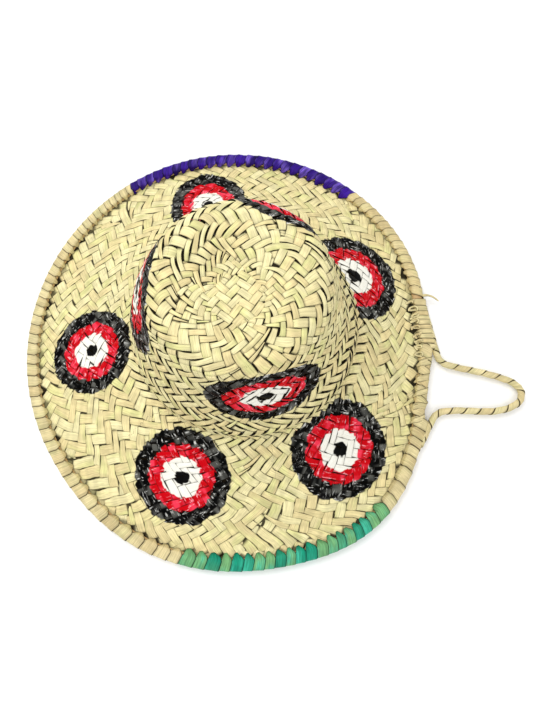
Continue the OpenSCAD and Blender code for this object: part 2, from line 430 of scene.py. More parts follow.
# ------ painted eyes
# Brim eyes: middle x, y and outer half-lengths along the radius and across it, in millimetres
BRIM_EYES = [(-136.3, -17.5, 39, 36.5), (-53.5, -125.6, 39, 41), (78.5, -103.3, 40.5, 42),
             (94.5, 47.5, 42.5, 42), (-37, 121.5, 44, 36)]
# Crown eyes: azimuth, distance from the shoulder line down the wall, half-length round and down, and tilt,
# in degrees and millimetres
CROWN_EYES = [(-74.5, 28, 46, 27, 8), (173, 25, 53, 33, 0), (63, 7, 41, 24.5, 0)]
FAR_AWAY = 9.0
# Radius of the crown wall that turns angles into lengths round it
WALL_R = 78
# How far from an eye's middle its paint is worked out, in half-lengths
PAINT_REACH = 1.4
# Outer edges of the black, red, white and pupil, and half the blur there, in half-lengths
PAINT_EDGES = (1.005, 0.695, 0.415, 0.145)
PAINT_BLUR = 0.015


def eye_offset(dx, dy, turn, along, across):
    """Offset from an eye's middle along its own axes, in half-lengths."""
    u = (dx * math.cos(turn) + dy * math.sin(turn)) / along
    v = (dy * math.cos(turn) - dx * math.sin(turn)) / across
    return u, v


def paint_vector(points, on_brim):
    """Offset of points from the nearest eye's middle, in half-lengths, or FAR_AWAY."""
    best = np.full(points.shape, FAR_AWAY)
    size = np.full(points.shape[:-1], FAR_AWAY)
    x, y, z = np.moveaxis(leaned(points, -1), -1, 0)
    down = np.interp(np.hypot(x, y) - z, CROWN[:, 0] - CROWN[:, 1], np.arange(len(CROWN))) - SHOULDER_S
    spots = [(eye_offset(x - mid_x, y - mid_y, math.atan2(mid_y, mid_x), along, across), on_brim)
             for mid_x, mid_y, along, across in BRIM_EYES]
    for azimuth, middle, along, across, tilt in CROWN_EYES:
        turn = (np.arctan2(y, x) - math.radians(azimuth) + math.pi) % TAU - math.pi
        spots.append((eye_offset(turn * WALL_R, down - middle, math.radians(tilt), along, across), ~on_brim))
    for (u, v), zone in spots:
        near = (np.hypot(u, v) < np.minimum(size, PAINT_REACH)) & zone
        best[near] = np.stack([u, v, 0 * u], axis=-1)[near]
        size = np.where(near, np.hypot(u, v), size)
    return best


# ------ the plait
# How far down from the middle of the top the strips start, and how many of each family there are there
FIRST_S = 14.0
FIRST_COUNT = 20
# A new strip widens over GROW, and the four that join together start STAGGER apart. A strip is drawn from
# this share of its full width, its start tucked this far down. GOLDEN spreads the new ones round the hat.
GROW = 30.0
STAGGER = 13.0
MESH_FROM = 0.12
TUCK = 0.9
GOLDEN = 0.6180339887
# Thickness of a strip
STRIP_T = 0.42
# The levels at which strips are worked out, the hat's radius there, and how far a strip has turned by then
LEVEL_STEP = 1.4
LEVELS = np.arange(FIRST_S, LAST_S - 2, LEVEL_STEP)
LEVEL_R = np.interp(LEVELS, np.arange(LAST_S), np.hypot(SURFACE[0, :, 0], SURFACE[0, :, 1]))
TURN = np.concatenate([[0], np.cumsum(LEVEL_STEP / ((LEVEL_R[1:] + LEVEL_R[:-1]) / 2))])
# Distances down the hat, and the strips' widths, how far they fill their place, how high they
# stand over each other and how dark the shade painted in the gaps between them is there
STATIONS = [FIRST_S, SHOULDER_S - 10, SHOULDER_S + 12, BASE_S - 4, BASE_S + 18, BASE_S + 70, LAST_S]
WIDTHS = [3.1, 6.8, 6.7, 6.5, 7.0, 7.9, 8.1]
FILLS = [1.00, 0.97, 0.84, 0.81, 0.97, 1.02, 1.02]
LIFTS = [0.70, 0.88, 0.66, 0.62, 0.48, 0.46, 0.44]
PAINTED_DIP_SHADE = [0.95, 1.0, 1.0, 1.0, 0.76, 0.69, 0.71]


def station(values):
    """Values given at the stations, worked out for every level."""
    return np.interp(LEVELS, STATIONS, values)


def plan_family(phase):
    """Ring order, starting level and twill number of one family's strips, which join in fours."""
    target = np.maximum.accumulate(TAU * LEVEL_R / (math.sqrt(2) * station(WIDTHS)))
    order, twill = list(range(FIRST_COUNT)), list(range(FIRST_COUNT))
    starts = [-999.0] * FIRST_COUNT
    group = 0
    while FIRST_COUNT + 4 * group + 2 < target[-1]:
        level = np.interp(FIRST_COUNT + 4 * group + 2, target, LEVELS) - 0.5 * GROW - 1.5 * STAGGER
        at = int(((group * GOLDEN + phase) % 1) * len(order))
        number = twill[order[at]]
        order[at + 1:at + 1] = range(len(starts), len(starts) + 4)
        starts += [level + STAGGER * k for k in (0, 2, 3, 1)]
        twill += range(number + 1, number + 5)
        group += 1
    return np.array(order), np.array(starts), np.array(twill)


def family_lines(plan):
    """Each strip's place round the ring (0 to 1) and its weight, at every level, in ring order."""
    order, starts, _ = plan
    weight = smooth((LEVELS[None] - starts[order][:, None]) / GROW)
    total = weight.sum(0)
    before = np.cumsum(weight, axis=0) - weight
    return (before + weight / 2) / total, weight, total


def crossing_lift(place, twill, other_lines, other_twill, way):
    """How far each strip stands over (+1) or under (-1) the other family, at every level."""
    lift = np.zeros_like(place)
    for m in range(len(LEVELS)):
        active = np.flatnonzero(other_lines[1][:, m] > MESH_FROM)
        centre = other_lines[0][active, m]
        at = (place[:, m] + way * 2 * TURN[m] / TAU) % 1
        after = np.searchsorted(centre, at)
        low, high = (after - 1) % len(active), after % len(active)
        gap = (centre[high] - centre[low]) % 1
        share = ((at - centre[low]) % 1) / np.maximum(gap, 1e-9)
        first = over(twill, other_twill[active[low]], way)
        second = over(twill, other_twill[active[high]], way)
        lift[:, m] = first + (second - first) * smooth((share - 0.5) / 0.7 + 0.5)
    return rounded(lift, np.array([0.1, 0.2, 0.4, 0.2, 0.1]), 1, mode="edge")


def over(mine, theirs, way):
    """+1 where my strip lies over theirs. way is +1 for the family counted first and -1 for the other."""
    first_over = ((mine - theirs) * way) % 4 < 2
    return np.where(first_over, 1.0, -1.0) * way


def wander(theta, s):
    """A hand-made plait's small drift, the same for both families: change of angle and of distance down."""
    reach = np.interp(s, LEVELS, LEVEL_R)
    x, y = reach * np.cos(theta), reach * np.sin(theta)
    rough = np.interp(s, [FIRST_S, SHOULDER_S, BASE_S, BASE_S + 40], [1.2, 1.3, 0.8, 1.2])
    gap = np.hypot(x - TANGLE_AT[0], y - TANGLE_AT[1])
    rough = rough + TANGLE * np.exp(-gap ** 2 / (2 * DENT_WIDTH ** 2))
    swing = np.sin(0.10 * x + 0.05 * y) + 0.7 * np.sin(0.17 * y - 0.09 * x + 1.3)
    swing = swing + 0.3 * np.sin(0.26 * x + 0.21 * y + 0.4)
    slide = np.sin(0.06 * x - 0.10 * y + 2.1) + 0.7 * np.sin(0.16 * x + 0.10 * y + 0.4)
    slide = slide + 0.3 * np.sin(0.22 * y - 0.25 * x)
    drift = rough * 0.8 * (smooth((s - FIRST_S) / 10) * smooth((LAST_S - s) / 40))
    return theta + drift * swing / reach, s + drift * slide


# Where along the hat each CAD sheet lies, and how many pieces each family makes there
ZONES = {"crown_top": (FIRST_S, SHOULDER_S), "crown_wall": (SHOULDER_S, BASE_S), "brim": (BASE_S, LAST_S)}
SECTORS = {"crown_top": 2, "crown_wall": 4, "brim": 3}
# How far in from the rim's middle line shade is painted on the strips under the binding, how much further it
# is painted under the lashing's stitches, and the angle and half-width of those (degrees)
RIM_SHADE = 7.8
STITCH_SHADE = 4.5
STITCH_ANGLE = (6, 10)


def local_widths(points, weight, total):
    """The room each strip has between its neighbours, at every level, from where their lines really run."""
    along = unit(np.gradient(points, axis=1))
    room = weight / total * TAU * LEVEL_R / math.sqrt(2)
    for m in range(len(LEVELS)):
        active = np.flatnonzero(weight[:, m] > MESH_FROM)
        here, share = points[active, m], weight[active, m]
        to_next = np.roll(here, -1, axis=0) - here
        apart = np.linalg.norm(np.cross(to_next, along[active, m]), axis=1)
        due = (share + np.roll(share, -1)) / 2 / total[m] * TAU * LEVEL_R[m] / math.sqrt(2)
        stretch = apart / due
        room[active, m] *= (stretch + np.roll(stretch, 1)) / 2
    return room


def strip_size(points, room, lift, weight, shown, rng):
    """A strip's half-width and its height over the plait's middle, at every level."""
    fit = station(FILLS) * rng.choice([1.02, 1.0, 0.97, 0.92], p=[0.35, 0.3, 0.23, 0.12])
    wobble = 1 + 0.03 * np.sin(LEVELS * 0.21 + rng.uniform(0, TAU))
    wobble = wobble + 0.03 * np.sin(LEVELS * 0.47 + rng.uniform(0, TAU))
    from_loose = np.hypot(points[:, 0] - LOOSE_AT[0], points[:, 1] - LOOSE_AT[1])
    loose = np.exp(-from_loose ** 2 / (2 * LOOSE_WIDTH ** 2))
    half = 0.5 * room * fit * wobble * (1 - LOOSE * loose)
    height = station(LIFTS) * lift * (1 + 0.3 * np.sin(LEVELS * 0.3 + rng.uniform(0, TAU)))
    height = height * (1 + LOOSE_LIFT * loose)
    if weight[0] < MESH_FROM:
        height = height - TUCK * (1 - smooth((LEVELS - LEVELS[shown[0]]) / 7))
    return half, height


def strip_shade(theta, s, reach, lift, number, rng):
    """Painted shade on a strip at every level and round its section: where it dips, and beside the binding.
    """
    fade = 0.50 + 0.15 * np.sin(LEVELS * 0.17 + number)
    above, below = (1 - smooth((side * lift + 0.35) / fade) for side in (1, -1))
    deep = (above[:, None] * SECTION_TOP + below[:, None] * (1 - SECTION_TOP)) * station(PAINTED_DIP_SHADE)[:, None]
    # Painted shade on the brim's edge, where it runs in under the binding's wraps
    from_rim = rim_reach(np.degrees(theta)) - reach
    shade_from = RIM_SHADE + STITCH_SHADE * bump(np.degrees(theta), *STITCH_ANGLE)
    shade = smooth((shade_from - from_rim) / 2.0) * (s > BASE_S) * rng.uniform(0.25, 0.85)
    return np.maximum(deep, shade[:, None])


def plait_family(way, lines, lift, seed):
    """Shapes of one family's strips, split by zone and sector."""
    rng = np.random.default_rng(seed)
    place, weight, total = lines
    all_theta, all_s = wander(TAU * place + way * TURN, LEVELS[None])
    all_points, all_normals = on_hat(all_theta, all_s)
    room = local_widths(all_points, weight, total)
    shapes = {}
    for k, (theta, s, points, normal) in enumerate(zip(all_theta, all_s, all_points, all_normals)):
        reach = np.hypot(points[:, 0], points[:, 1])
        inside = (s < BASE_S) | (reach < rim_reach(np.degrees(theta)) - 1.0)
        shown = np.flatnonzero((weight[k] > MESH_FROM) & inside)
        if len(shown) < 4:
            continue
        half, height = strip_size(points, room[k], lift[k], weight[k], shown, rng)
        line = points + normal * height[:, None]
        tone, number = rng.uniform(0, 1), rng.uniform(0, 900)
        tilt = rng.uniform(-0.12, 0.12) + 0.10 * np.sin(LEVELS * 0.25 + rng.uniform(0, TAU))
        deep = strip_shade(theta, s, reach, lift[k], number, rng)
        for zone, (low, high) in ZONES.items():
            part = shown[(LEVELS[shown] >= low - LEVEL_STEP) & (LEVELS[shown] <= high)]
            if len(part) < 3:
                continue
            sector = int(SECTORS[zone] * ((place[k][part[0]] + 0.03) % 1))
            shape = shapes.setdefault((zone, sector), Shape())
            rows = slice(part[0], part[-1] + 1)
            ribbon(shape, line[rows], normal[rows], half[rows], STRIP_T, tilt=tilt[rows], strip=number,
                   deep=deep[rows], tone=tone, crown=0.15, on_brim=s[rows, None] > BASE_S + 2)
    return shapes


UP = np.array([[0.0, 0.0, 1.0]])
# The mat's strips each way, their pitch, the turn of the first (degrees) and the radius it reaches
MAT_STRIPS = 7
MAT_PITCH = 5.3
MAT_TURN = 52
MAT_REACH = 21.0


def mat_strip(k, way, phase):
    """Line and painted shade of strip k of the mat. way is +1 for those that run one way and -1 for the
    others.
    """
    turn = math.radians(MAT_TURN) + (0 if way == 1 else math.pi / 2)
    along = np.array([math.cos(turn), math.sin(turn)])
    across = np.array([-along[1], along[0]]) * way
    offset = (k - (MAT_STRIPS - 1) / 2) * MAT_PITCH
    half_length = math.sqrt(MAT_REACH ** 2 - offset ** 2)
    t = np.arange(-half_length, half_length + 0.01, half_length / 20)
    drift = 0.5 * np.sin(t * 0.15 + phase)
    flat = POLE + along * t[:, None] + across * (offset + drift)[:, None]
    cell = t / MAT_PITCH + (MAT_STRIPS - 1) / 2
    low = np.floor(cell).astype(int)
    first, second = over(k, low, way), over(k, low + 1, way)
    lift = first + (second - first) * smooth((cell - low - 0.5) / 0.7 + 0.5)
    end = smooth((np.abs(t) - half_length + 4.5) / 4.5)
    height = crown_height(flat[:, 0], flat[:, 1]) + 0.7 + 0.6 * lift * (1 - end) - 1.7 * end
    above, below = (1 - smooth((side * lift + 0.3) / 0.55) for side in (1, -1))
    # Painted shade where the strip dips under the others and at its tucked-under ends
    top_deep = np.maximum(0.95 * above, end * 0.6)
    deep = top_deep[:, None] * SECTION_TOP + 0.8 * below[:, None] * (1 - SECTION_TOP)
    return leaned(np.concatenate([flat, height[:, None]], axis=1)), deep


def add_mat(material):
    """The small straight-woven mat that the plait starts from, its ends tucked under the first strips."""
    rng = np.random.default_rng(21)
    shape = Shape()
    for way in (1, -1):
        for k in range(MAT_STRIPS):
            line, deep = mat_strip(k, way, rng.uniform(0, TAU))
            half = 0.5 * MAT_PITCH * rng.uniform(0.95, 1.06)
            tilt = rng.uniform(-0.1, 0.1)
            number, tone = rng.uniform(0, 900), rng.uniform(0, 1)
            ribbon(shape, line, UP, half, STRIP_T, tilt=tilt, strip=number, tone=tone, deep=deep,
                   crown=0.25, eye=np.full((1, 1, 3), FAR_AWAY))
    hat_piece(shape, "crown_top_mat", material, "crown_top")


def add_plait(material):
    """Both families of strips, which run down the hat to the right and to the left."""
    first, second = plan_family(0.13), plan_family(0.52)
    lines_a, lines_b = family_lines(first), family_lines(second)
    twill_a, twill_b = first[2][first[0]], second[2][second[0]]
    lift_a = crossing_lift(lines_a[0], twill_a, lines_b, twill_b, 1)
    lift_b = crossing_lift(lines_b[0], twill_b, lines_a, twill_a, -1)
    families = [("right", 1, lines_a, lift_a, 11), ("left", -1, lines_b, lift_b, 12)]
    for name, way, lines, lift, seed in families:
        shapes = plait_family(way, lines, lift, seed)
        for (zone, sector), shape in sorted(shapes.items()):
            hat_piece(shape, f"{zone}_strips_{name}_{sector + 1}", material, zone)


# ------ the rim's line
RIM_DEGREES = np.arange(0, 720.5, 0.5)


def rim_plan():
    """Points of the rim's middle line over two turns, and the run along it, in millimetres."""
    reach = rim_reach(RIM_DEGREES)
    angle = np.radians(RIM_DEGREES)
    points = np.stack([reach * np.cos(angle), reach * np.sin(angle)], axis=1)
    return points, run_along(points)


RIM_POINTS, RIM_RUN = rim_plan()


def rim_at(run, out, up):
    """Point beside the rim's middle line: run along it, then out from it and up."""
    run = np.asarray(run, float)
    behind, here, ahead = (np.stack([np.interp(run + step, RIM_RUN, part) for part in RIM_POINTS.T], axis=-1)
                           for step in (-3, 0, 3))
    along = unit(ahead - behind)
    outward = np.stack([along[..., 1], -along[..., 0]], axis=-1)
    flat = here + outward * np.asarray(out)[..., None]
    return np.concatenate([flat, (RIM_Z + np.asarray(up) + 0 * run)[..., None]], axis=-1)


def node_span(name):
    """Where a CAD node starts and ends along the rim, in millimetres of its run."""
    points = node_points(name)
    angle = np.degrees(np.arctan2(points[:, 1], points[:, 0]))
    middle = math.degrees(math.atan2(points[:, 1].mean(), points[:, 0].mean()))
    spread = (angle - middle + 540) % 360 - 180
    middle = middle % 360 + (360 if middle % 360 < 90 else 0)
    return [float(np.interp(middle + end, RIM_DEGREES, RIM_RUN)) for end in (spread.min(), spread.max())]


# ------ binding, lashings and loose end
# Half of a wrap's path round the rim, from its outermost point over the top to its inner tip: out and up, the
# last two with their reach inwards as a share of the whole
WRAP_PATH = [(5.75, 0), (5.4, 2.1), (3.9, 3.9), (1.0, 4.72),
             (-2.4, 4.75), (-4.2, 4.3), (-0.72, 2.6), (-1, 0.4)]
# How far out (here in, below 0) a wrap starts to narrow towards its tips
TAPER_FROM = -3.2


def wrap_path(reach_out, reach_in):
    """Full path of one turn as (out, up) rows, lower inner tip first, with these reaches out and in."""
    half = np.array(WRAP_PATH)
    half[:, 0] = np.where(half[:, 0] > 0, half[:, 0] * reach_out / half[0, 0], half[:, 0])
    half[-2:, 0] *= reach_in
    lower = half[:0:-1] * (1, -1)
    return even_rows(spline(np.concatenate([lower, half]), 6), 1.15)


def wrap(shape, run, width, reach_out, reach_in, lean, tone, number, rise, tip, skew):
    """One turn of strip round the rim, its upper half moved lean along it from outside to inside. tip is its
    inner ends' width as a share, skew how far the upper one sits aside (1: at the edge), and rise how much
    higher the upper half stands."""
    path = wrap_path(reach_out, reach_in)
    share = np.linspace(-1, 1, len(path))
    raised = path * (1 + rise / 5 * smooth(4 * share))[:, None]
    share = np.where(share > 0, share, 0.4 * share)
    taper = np.clip((TAPER_FROM - path[:, 0]) / (TAPER_FROM + reach_in), 0, 1)
    half = 0.5 * width * (1 - (1 - tip) * taper)
    at = run + lean * share - skew * (0.5 * width - half) * (path[:, 1] > 0)
    line = rim_at(at, raised[:, 0], raised[:, 1])
    slope = unit(np.gradient(path, axis=0))
    inner = rim_at(at, path[:, 0] - slope[:, 1], path[:, 1] + slope[:, 0])
    facing = rim_at(at, path[:, 0], path[:, 1]) - inner
    # Painted shade towards the wrap's inner tips
    ribbon(shape, line, unit(facing), half, STRIP_T, crown=0.03, tilt=0.20, strip=number,
           tone=tone, deep=(0.5 * taper ** 2)[:, None])


def wrap_row(shape, start, end, pitch, lean, tones, rng, reach=(5.75, 5.75), inner=(6.4, 6.4), fill=1.10,
             rise=0.0, tip=0.12, skew=0.0):
    """Wraps side by side from start to end. pitch, reach and inner run evenly between their two values."""
    run = start
    count = 0
    while run < end - 0.3 * pitch[1]:
        share = (run - start) / (end - start)
        step = (pitch[0] + (pitch[1] - pitch[0]) * share) * rng.uniform(0.86, 1.14)
        if end - run - step < 0.5 * step:
            step = end - run
        out = reach[0] + (reach[1] - reach[0]) * share + rng.uniform(-0.08, 0.08)
        tone = tones[count % len(tones)] + rng.uniform(-0.15, 0.15)
        reach_in = inner[0] + (inner[1] - inner[0]) * share + rng.uniform(-0.3, 0.5)
        number = rng.uniform(0, 900)
        wrap(shape, run + step / 2, step * fill, out, reach_in, lean, tone, number, rise, tip, skew)
        run += step
        count += 1


# Each stretch of binding: its wraps' pitch at both ends, lean and reach inwards, in millimetres, then the
# width of their inner tips as a share, the tips' skew, and tones in turn
BINDINGS = {
    "binding_natural_left": ((6.4, 13.5), 4.0, (6.2, 6.8), 0.12, 0.3, [0.3, 0.55, 0.4]),
    "binding_purple": ((9.0, 9.0), 7.0, (8.2, 5.6), 0.12, 0.0, [0.4, 0.6]),
    "binding_natural_back": ((7.8, 8.2), 8.5, (6.4, 6.4), 0.12, 0.0, [0.5, 0.8]),
    "binding_green": ((11.0, 7.4), 4.5, (8.6, 8.6), 0.18, 0.8, [0.85, 0.8, 0.2, 0.7, 0.1, 0.15]),
    "binding_natural_front": ((11.5, 13.5), 4.5, (6.6, 6.6), 0.75, 0.5, [0.3, 0.5]),
}


def add_binding(palm, purple, green):
    materials = {"binding_purple": (purple, "purple_strip"), "binding_green": (green, "green_strip")}
    for k, (node, (pitch, lean, inner, tip, skew, tones)) in enumerate(BINDINGS.items()):
        material, slot = materials.get(node, (palm, "palm_binding"))
        shape = Shape()
        rng = np.random.default_rng(40 + k)
        wrap_row(shape, *node_span(node), pitch, lean, tones, rng, inner=inner, tip=tip, skew=skew)
        hat_piece(shape, f"{node}_wraps", material, node)
    shape = Shape()
    rng = np.random.default_rng(50)
    span = node_span("binding_natural_gap")
    wrap_row(shape, *span, (8.5, 8.5), 8.0, [0.5, 0.75], rng)
    wrap_row(shape, *span, (12.5, 12.5), -9.0, [0.3, 0.5], rng, fill=0.42, rise=0.45)
    hat_piece(shape, "binding_natural_gap_wraps", palm, "binding_natural_gap")


# How far out the lashings reach over the cord, and where the cord ends
LASH_OUT = 10.2
LASH_END_OUT = 6.9


def add_lashings(palm):
    rows = {"lashing_upper": ((4.4, 4.4), 1.5, (LASH_OUT, LASH_END_OUT)),
            "lashing_lower": ((7.6, 7.6), 6.0, (LASH_END_OUT, LASH_OUT))}
    for k, (node, (pitch, lean, reach)) in enumerate(rows.items()):
        shape = Shape()
        rng = np.random.default_rng(60 + k)
        wrap_row(shape, *node_span(node), pitch, lean, [0.5, 0.8, 0.35], rng, reach, fill=1.0)
        hat_piece(shape, f"{node}_wraps", palm, node)


def stitch_height(out):
    """Height of the wraps' and then the brim's upper face, out from the rim's middle line."""
    return np.interp(out, [-12, -7.5, -4.5, -2], [2.2, 1.3, 4.5, 5.0])


def add_stitches(palm):
    """The chain of small looped stitches along the top of the upper lashing."""
    start, end = node_span("lashing_upper")
    rng = np.random.default_rng(71)
    shape = Shape()
    t = np.linspace(0, 1, 23)
    run = start - 6
    while run < end + 3:
        turn, size, shift = rng.uniform(-1.2, 1.2), rng.uniform(0.55, 1.15), rng.uniform(-7.9, -6.0)
        sweep = TAU * rng.uniform(0.5, 0.8) * t + turn
        ring_out, ring_along = 3.1 * size * np.cos(sweep), 2.5 * size * np.sin(sweep)
        bar_out, bar_along = 8.0 * (t - 0.5), 3.0 * (t - 0.5) * rng.uniform(-1, 1) + rng.uniform(-1.5, 1.5)
        for out, along, half, high in ((ring_out, ring_along, 1.0, 1.1), (bar_out, bar_along, 1.1, 0.3)):
            up = stitch_height(out + shift) + high + 0.5 * np.sin(t * TAU + turn)
            number, tone = rng.uniform(0, 900), rng.uniform(0, 0.7)
            line = rim_at(run + along, out + shift, up)
            ribbon(shape, line, UP, half, 0.6, crown=0.3, strip=number, tone=tone, deep=0)
        run += rng.uniform(4.8, 7.6)
    hat_piece(shape, "lashing_stitches", palm, "lashing_knots")


def add_loose_strip(palm):
    low, high = (np.array(corner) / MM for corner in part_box("loose_strip_end"))
    t = np.linspace(0, 1, 24)
    x = low[0] - 3 + (high[0] - low[0] + 3) * t
    y = high[1] - 1.2 - (high[1] - low[1] - 2.6) * t ** 2.2 + 0.8 * np.sin(t * math.pi)
    z = (low[2] + high[2]) / 2 + 1.6 * np.sin(t * math.pi) - 0.8 * t
    up = np.stack([0.15 * np.sin(4 * t), 0.5 * np.sin(3 * t), np.ones_like(t)], axis=1)
    shape = Shape()
    line = np.stack([x, y, z], axis=1)
    ribbon(shape, line, up, 1.5 * (1 - 0.65 * t ** 3), 0.4, strip=5.0, tone=0.35, deep=0)
    hat_piece(shape, "loose_strip", palm, "loose_strip_end")


# ------ hanging loop
# The loop's route between its feet, level with the middle of the rim: the CAD model's own points
LOOP_ROUTE = [[174, -22], [180, -25.5], [188, -28], [199, -30.5], [211, -33], [224, -36.5],
              [235.5, -40.5], [243, -45], [246.5, -51.5], [244.5, -58.5], [238, -63.5],
              [228, -67], [216, -68.5], [199, -68], [186, -67.5], [176, -68.5], [167, -71.5]]
LOOP_STEP = 1.5
# How far out from the rim's middle line the cord is lashed, its radius and sides, the radius and the pitch of
# its winding, and the half-width of the wound strip as a share of that pitch
CORD_OUT = 7.7
CORD_R = 2.1
CORD_SIDES = 12
WIND_R = 2.72
WIND_PITCH = 12.6
WIND_HALF = 0.52
WIND_ACROSS = np.array([-1, -0.8, 0, 0.8, 1, 0.8, 0, -0.8])
# Painted shade along the winding's edges: thin where the next turn covers it, strong where it lies over the
# last
WIND_SEAM = np.array([0.6, 0, 0, 0, 1.4, 0, 0, 0])


def loop_line():
    """Middle of the cord from its upper lashed end, round the loop, to its lower lashed end."""
    upper, lower = node_span("cord_end_upper"), node_span("cord_end_lower")
    runs_upper, runs_lower = np.arange(upper[1], upper[0] + 4, -8), np.arange(lower[0], lower[1] - 4, 8)
    lashed_upper = rim_at(runs_upper, np.linspace(CORD_OUT - 3, CORD_OUT, len(runs_upper)), 0)
    lashed_lower = rim_at(runs_lower, np.linspace(CORD_OUT - 2, CORD_OUT, len(runs_lower)), 0)
    route = np.array([[x, y, RIM_Z] for x, y in LOOP_ROUTE])
    line = even_rows(spline(np.concatenate([lashed_upper, route, lashed_lower]), 12), LOOP_STEP)
    return rounded(line, bell(6, 2.4), 0, mode="reflect", reflect_type="odd")


def side_and_up(line):
    """Unit directions beside and above a line, at each of its points."""
    along = unit(np.gradient(line, axis=0))
    side = unit(np.cross(along, [0, 0, 1]))
    return side, np.cross(side, along)


def tube_rings(line, radius, sides):
    """Rings of a round tube along a line."""
    side, up = side_and_up(line)
    a = np.arange(sides) * TAU / sides
    return line[:, None] + radius * (side[:, None] * np.cos(a)[:, None] + up[:, None] * np.sin(a)[:, None])


def add_loop(palm):
    """The cord and its winding, from one lashed end round the loop to the other."""
    line = loop_line()
    core = Shape()
    run = np.arange(len(line)) * LOOP_STEP
    around = np.arange(CORD_SIDES) / CORD_SIDES * TAU * CORD_R
    grain = np.stack(np.broadcast_arrays(around[None], run[:, None], 3.0), axis=-1)
    # The core is darkened with painted shade, as only the gaps between the winding's turns show it
    core.skin(tube_rings(line, CORD_R, CORD_SIDES), grain=grain, tone=0.9, deep=0.5, edge=0, upside=1)
    cord = core.piece("loop_cord_core", palm)
    winding = Shape()
    add_winding(winding, line, run)
    wound = winding.piece("loop_winding", palm)
    for piece, nodes, slot in ((cord, ("loop_cord", "cord_end_upper", "cord_end_lower"), "palm_cord"),
                               (wound, ("loop_wrapping",), "palm_binding")):
        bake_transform(piece)
        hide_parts(*nodes)


def add_winding(shape, line, run):
    """The strip wound round the cord in a slow helix, each turn just over the last."""
    turn = np.arange(0.5 * TAU, (run[-1] / WIND_PITCH - 0.5) * TAU, TAU / 20)
    side, up = side_and_up(line)
    across = WIND_ACROSS * WIND_HALF
    at = np.clip(WIND_PITCH * (turn[:, None] / TAU + across), run[0], run[-1])
    radius = WIND_R + 0.18 * SECTION_UP + 0.26 * WIND_ACROSS + 0.10 * (1 - WIND_ACROSS ** 2)
    pick = [np.stack([np.interp(at, run, field[:, k]) for k in range(3)], axis=-1)
            for field in (line, side, up)]
    angle = turn[:, None, None]
    rings = pick[0] + radius[..., None] * (pick[1] * np.cos(angle) + pick[2] * np.sin(angle))
    grain = np.stack(np.broadcast_arrays(across * WIND_PITCH * 0.8, turn[:, None] * 2.6, 9.0), axis=-1)
    shape.skin(rings, grain=grain, tone=0.35 + 0.25 * np.sin(turn * 0.37)[:, None], deep=WIND_SEAM,
               edge=0, upside=1)


# ------ materials
class Nodes:
    """Short calls for building one material's node tree."""

    def __init__(self, name):
        self.material = bpy.data.materials.new(name)
        self.material.use_nodes = True
        self.tree = self.material.node_tree
        self.shader = self.tree.nodes["Principled BSDF"]

    def node(self, kind, **settings):
        made = self.tree.nodes.new(kind)
        for key, value in settings.items():
            setattr(made, key, value)
        return made

    def link(self, source, target):
        self.tree.links.new(source, target)

    def attribute(self, name, output="Fac"):
        return self.node("ShaderNodeAttribute", attribute_name=name).outputs[output]

    def math(self, operation, a, b):
        made = self.node("ShaderNodeMath", operation=operation)
        self.link(a, made.inputs[0])
        self.link(b, made.inputs[1])
        return made.outputs[0]

    def mix(self, share, a, b, blend="MIX"):
        made = self.node("ShaderNodeMix", data_type="RGBA", blend_type=blend)
        for socket, value in ((made.inputs[0], share), (made.inputs[6], a), (made.inputs[7], b)):
            if isinstance(value, (int, float)):
                socket.default_value = value
            elif isinstance(value, tuple):
                socket.default_value = (*value, 1)
            else:
                self.link(value, socket)
        return made.outputs[2]

    def noise(self, vector, scale, detail=2.0, rough=0.5):
        """Noise, its scale given along each axis."""
        scaled = self.node("ShaderNodeVectorMath", operation="MULTIPLY")
        self.link(vector, scaled.inputs[0])
        scaled.inputs[1].default_value = scale
        made = self.node("ShaderNodeTexNoise")
        self.link(scaled.outputs[0], made.inputs["Vector"])
        made.inputs["Scale"].default_value = 1.0
        made.inputs["Detail"].default_value = detail
        made.inputs["Roughness"].default_value = rough
        return made.outputs["Fac"]

    def ramp(self, value, low, high, to_low=0.0, to_high=1.0):
        made = self.node("ShaderNodeMapRange", interpolation_type="SMOOTHSTEP")
        self.link(value, made.inputs["Value"])
        for key, number in (("From Min", low), ("From Max", high), ("To Min", to_low), ("To Max", to_high)):
            made.inputs[key].default_value = number
        return made.outputs[0]

    def finish(self, colour, roughness, height, distance=0.00018):
        """The material with this colour, roughness and height of its bumps, at most distance (metres)."""
        self.link(colour, self.shader.inputs["Base Color"])
        self.link(roughness, self.shader.inputs["Roughness"])
        bumps = self.node("ShaderNodeBump")
        bumps.inputs["Distance"].default_value = distance
        self.link(height, bumps.inputs["Height"])
        self.link(bumps.outputs[0], self.shader.inputs["Normal"])
        return self.material


def palm_colour(n, pale, warm, green, depth=0.16):
    """Colour of a strip from its own tone, slow patches along it (stains on palm, painted sheen on purple),
    its fine lengthwise grain and a brightness from float to float that is partly painted sheen.
    """
    grain = n.attribute("grain", "Vector")
    streaks = n.noise(grain, (1.25, 0.07, 1.0), 3, 0.62)
    stain_and_sheen = n.noise(grain, (0.10, 0.035, 1.0), 2)
    place = n.node("ShaderNodeTexCoord").outputs["Object"]
    cloud = n.noise(place, (16.0, 16.0, 16.0), 2)
    base = n.mix(n.ramp(n.attribute("tone"), 0.1, 0.9), pale, warm)
    # Patches along the strip: stains on the palm, painted sheen on the purple, whose third colour is a
    # highlight
    base = n.mix(n.ramp(stain_and_sheen, 0.45, 0.72), base, green)
    base = n.mix(n.ramp(cloud, 0.5, 0.75, 0, 0.5), base, warm)
    # Brightness from float to float: partly the palm's own tone, partly painted sheen for the light on each
    # float
    float_tone_and_sheen = n.ramp(n.noise(grain, (0.04, 0.12, 5.0), 1), 0.36, 0.64, 0.90, 1.08)
    shade = n.math("MULTIPLY", n.ramp(streaks, 0.28, 0.70, 0.92 - depth, 0.92 + depth), float_tone_and_sheen)
    return n.mix(1.0, base, shade, "MULTIPLY"), streaks, grain


